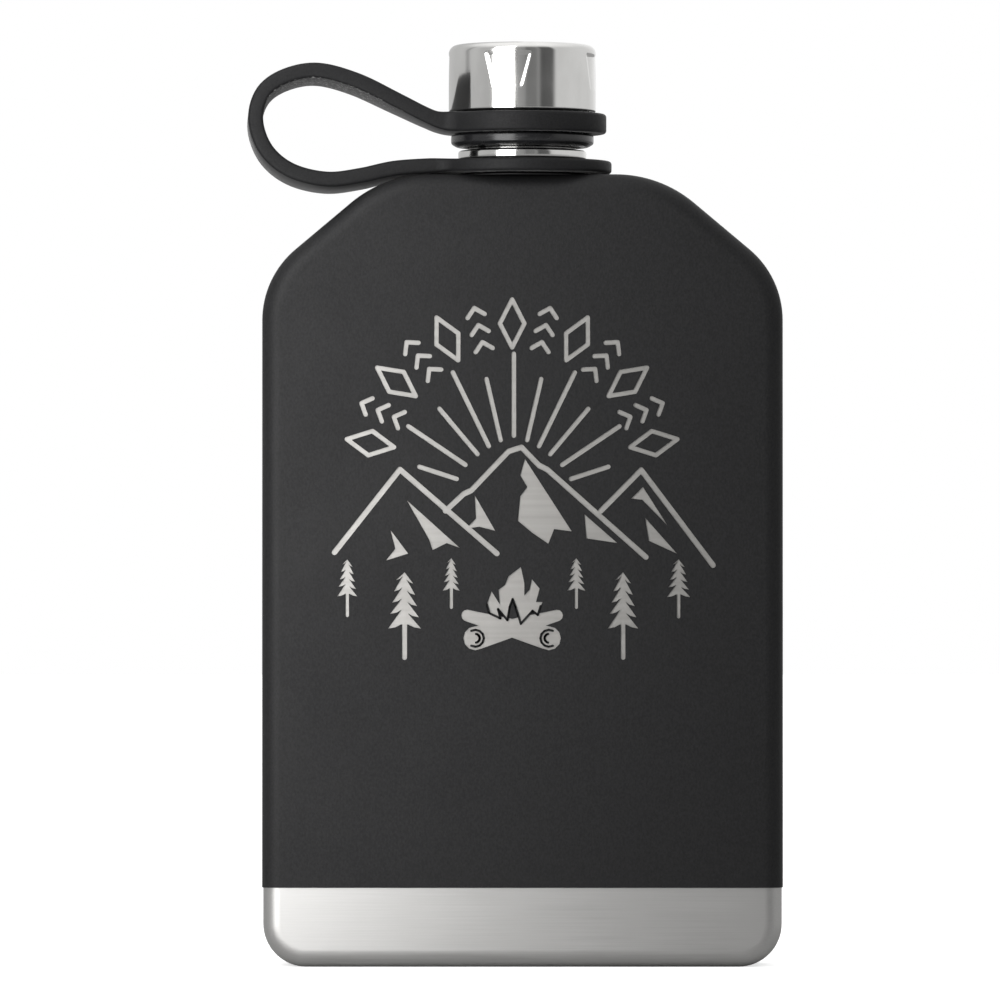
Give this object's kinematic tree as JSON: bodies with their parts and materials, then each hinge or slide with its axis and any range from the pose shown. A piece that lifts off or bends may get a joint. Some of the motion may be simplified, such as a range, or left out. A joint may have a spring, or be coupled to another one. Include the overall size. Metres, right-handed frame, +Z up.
{
  "type": "hip flask",
  "caption": "Flat steel hip flask with sloped shoulders, a powder-coated body over a bare steel base band, a screw cap and a silicone strap that keeps the cap on the neck.",
  "frame": {"origin": "middle of the base, where the flask stands", "axes": "+Z up through the neck, front face to -Y, strap loop to -X"},
  "size_m": [0.0922, 0.0308, 0.1585],
  "materials": {
    "brushed_steel": "stainless sheet brushed crosswise",
    "polished_steel": "polished stainless",
    "powder_coat": "matt black powder coat with a fine grain",
    "silicone": "matt black moulded silicone",
    "black_plastic": "gloss black moulding",
    "gasket_silicone": "translucent white silicone"
  },
  "bodies": {
    "flask": {"front_shell": "brushed_steel", "back_shell": "brushed_steel", "powder_coat": "powder_coat", "neck": "polished_steel", "strap_neck_end": "silicone"},
    "strap_loop": {"strap_bend": "silicone"},
    "strap_ring": {"strap_cap_end": "silicone"},
    "cap": {"cap_shell": "polished_steel", "cap_core": "black_plastic", "cap_gasket": "gasket_silicone"}
  },
  "joints": [
    {"name": "strap_flex", "type": "slide", "parent": "flask", "child": "strap_loop", "axis": [0, 0, 1], "range_m": [0, 0.007]},
    {"name": "cap_rise", "type": "slide", "parent": "strap_loop", "child": "strap_ring", "axis": [0, 0, 1], "range_m": [0, 0.007]},
    {"name": "cap_turn", "type": "hinge", "parent": "strap_ring", "child": "cap", "pos_m": [0, 0, 0.147], "axis": [0, 0, 1], "range_deg": [0, 1440]}
  ],
  "couplings": [
    {"joint": "cap_turn", "follows": "strap_flex", "rad_per_m": 3590.4},
    {"joint": "cap_rise", "follows": "strap_flex", "ratio": 1}
  ]
}
